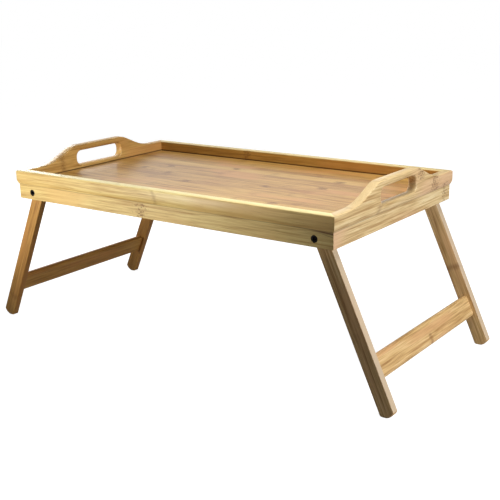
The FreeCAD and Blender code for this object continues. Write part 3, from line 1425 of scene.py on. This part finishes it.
@dataclass(frozen=True)
class Lamp:
    """Studio lamp.

    Attributes:
        name: what it does.
        kind: softbox, or spot with a soft edge.
        place: its centre.
        target: where it points.
        size: edge of a softbox, or radius of a spot.
        watts: its power.
        colour: its tint.
        cone: full angle of a spot, in degrees.
    """

    name: str
    kind: LampKind
    place: Triple
    target: Triple
    size: float
    watts: float
    colour: Colour = WHITE
    cone: float = 45.0

    def build(self) -> None:
        """Adds the lamp to the scene."""
        data = bpy.data.lights.new(self.name, self.kind.value)
        data.energy = self.watts
        data.color = self.colour
        if self.kind is LampKind.SPOT:
            data.shadow_soft_size = self.size
            data.spot_size = math.radians(self.cone)
            data.spot_blend = 1.0
        else:
            data.size = self.size
        lamp = bpy.data.objects.new(self.name, data)
        lamp.location = self.place
        aim = Vector(self.target) - Vector(self.place)
        lamp.rotation_euler = aim.to_track_quat("-Z", "Y").to_euler()
        bpy.context.scene.collection.objects.link(lamp)


KEY_PLACE = (-0.45, -0.80, 0.14)
KEY_TINT = (1.0, 0.99, 0.92)
FILL_TINT = (1.0, 0.97, 0.90)
SPOT, SOFTBOX = LampKind.SPOT, LampKind.SOFTBOX
LAMPS = [
    Lamp("front_left_key", SPOT, KEY_PLACE, (-0.12, -0.15, 0.29), 0.05, 15.5, KEY_TINT, cone=52.0),
    Lamp("front_left_edge", SPOT, KEY_PLACE, (-0.22, -0.15, 0.20), 0.05, 10.0, KEY_TINT, cone=44.0),
    Lamp("front_right_fill", SPOT, (0.20, -0.90, 0.50), (0.09, -0.15, 0.20), 0.05, 5.2, FILL_TINT,
         cone=21.0),
    Lamp("right_side", SOFTBOX, (1.1, 0.0, 0.35), (0.2, 0.0, 0.15), 0.5, 7.2),
    Lamp("over_front", SOFTBOX, (0.25, -0.10, 0.8), (0.25, -0.10, 0.2), 0.4, 3.9),
    Lamp("left_side", SOFTBOX, (-1.0, 0.3, 0.5), (0.0, 0.0, 0.2), 0.5, 6.5),
    Lamp("behind", SOFTBOX, (-0.70, 0.95, 0.45), (0.0, 0.0, 0.22), 0.8, 2.0),
]


@dataclass(frozen=True)
class Floor:
    """Pale studio floor that is white to the camera and keeps a soft shadow.

    Attributes:
        size: edge of the square.
        glow: brightness that the camera sees under the object, before the light on it is added.
        reach: radii where that begins to rise and where it is white.
        bounce: share of light that it sends back to the object.
        gloss: how bright it is in the lacquer's reflections.
    """

    size: float = 12.0
    glow: float = 0.95
    reach: tuple[float, float] = (0.55, 1.0)
    bounce: float = 0.35
    gloss: float = 0.2

    def build(self) -> None:
        """Adds the floor, which counts as stage."""
        mesh = bmesh.new()
        bmesh.ops.create_grid(mesh, x_segments=1, y_segments=1, size=self.size / 2)
        data = bpy.data.meshes.new("floor")
        mesh.to_mesh(data)
        mesh.free()
        data.materials.append(self._material())
        floor = bpy.data.objects.new("floor", data)
        bpy.context.scene.collection.objects.link(floor)

    def _material(self) -> bpy.types.Material:
        """Makes it white to the camera, grey to diffuse rays, and clear from below.

        Returns:
            The material.
        """
        material, graph = new_graph("studio_floor")
        place = graph.node("TexCoord").outputs["Object"]
        away = graph.node("VectorMath", {0: place}, operation="LENGTH").outputs["Value"]
        open_floor = graph.fade(away, self.reach[1], self.reach[0])
        glow = graph.total(self.glow, graph.product(open_floor, 1.0 - self.glow))
        strength = graph.product(glow, graph.looked_at(self.gloss))
        emission = graph.node("Emission", {"Color": WHITE, "Strength": strength})
        bounce = graph.node("BsdfDiffuse", {"Color": (self.bounce,) * 3})
        front = graph.node("AddShader", {0: emission.outputs[0], 1: bounce.outputs[0]})
        clear = graph.node("BsdfTransparent")
        below = graph.node("NewGeometry").outputs["Backfacing"]
        whole = graph.node("MixShader", {0: below, 1: front.outputs[0], 2: clear.outputs[0]})
        graph.node("OutputMaterial", {"Surface": whole.outputs[0]})
        return material


@dataclass(frozen=True)
class Backdrop:
    """World that is white to the camera and gives the object no diffuse light.

    Attributes:
        gloss: strength of its reflection.
    """

    gloss: float = 0.15

    def build(self) -> None:
        """Sets the scene's world."""
        world = bpy.data.worlds.new("white_studio")
        world.use_nodes = True
        graph = Graph(world.node_tree)
        background = graph.node("Background", {"Color": WHITE, "Strength": graph.looked_at(self.gloss)})
        graph.node("OutputWorld", {"Surface": background.outputs[0]})
        bpy.context.scene.world = world


@dataclass(frozen=True)
class Viewpoint:
    """Camera at the photograph's place.

    Attributes:
        place: of the camera.
        azimuth: degrees round Z from the front, towards the right.
        elevation: degrees above the horizon.
        roll: degrees the picture is turned.
        focal_pixels: focal length in pixels of the square picture.
        picture: edge of the picture in pixels.
        sensor: edge of the sensor in millimetres.
    """

    place: Triple = (0.73992, -0.96484, 0.45540)
    azimuth: float = 36.296
    elevation: float = 15.824
    roll: float = -1.117
    focal_pixels: float = 934.25
    picture: float = 500.0
    sensor: float = 36.0

    def build(self) -> None:
        """Adds the camera and makes it the scene's own."""
        azimuth, elevation, roll = map(math.radians, (self.azimuth, self.elevation, self.roll))
        level = math.cos(elevation)
        back = Vector((math.sin(azimuth) * level, -math.cos(azimuth) * level, math.sin(elevation)))
        flat_right = (-back).cross(Z_AXIS).normalized()
        flat_up = flat_right.cross(-back)
        right = math.cos(roll) * flat_right + math.sin(roll) * flat_up
        up = math.cos(roll) * flat_up - math.sin(roll) * flat_right
        data = bpy.data.cameras.new("photo_camera")
        data.sensor_width = self.sensor
        data.lens = self.focal_pixels * self.sensor / self.picture
        camera = bpy.data.objects.new("photo_camera", data)
        axes = Matrix((right, up, back)).transposed().to_4x4()
        camera.matrix_world = Matrix.Translation(self.place) @ axes
        bpy.context.scene.collection.objects.link(camera)
        bpy.context.scene.camera = camera


def main() -> None:
    """Loads the frame, dresses the table and sets the stage."""
    logging.basicConfig(level=logging.INFO, format="%(message)s")
    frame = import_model()
    nodes = frame["nodes"]

    Tray(nodes).build()
    for side in Side:
        LegFrame(nodes, side).build()
    finishes = {
        "black_bolt": BLACK_OXIDE.material("black_oxide"),
        "plated_washer": ZINC.material("zinc_washer"),
        "plated_nut": ZINC.material("zinc_nut"),
        "nylon": NYLON.material("nylon"),
    }
    for corner in CORNERS:
        PivotSet(corner, finishes).build()

    Floor().build()
    Backdrop().build()
    for lamp in LAMPS:
        lamp.build()
    Viewpoint().build()
    bpy.context.scene.view_settings.view_transform = "Standard"


if __name__ == "__main__":
    main()
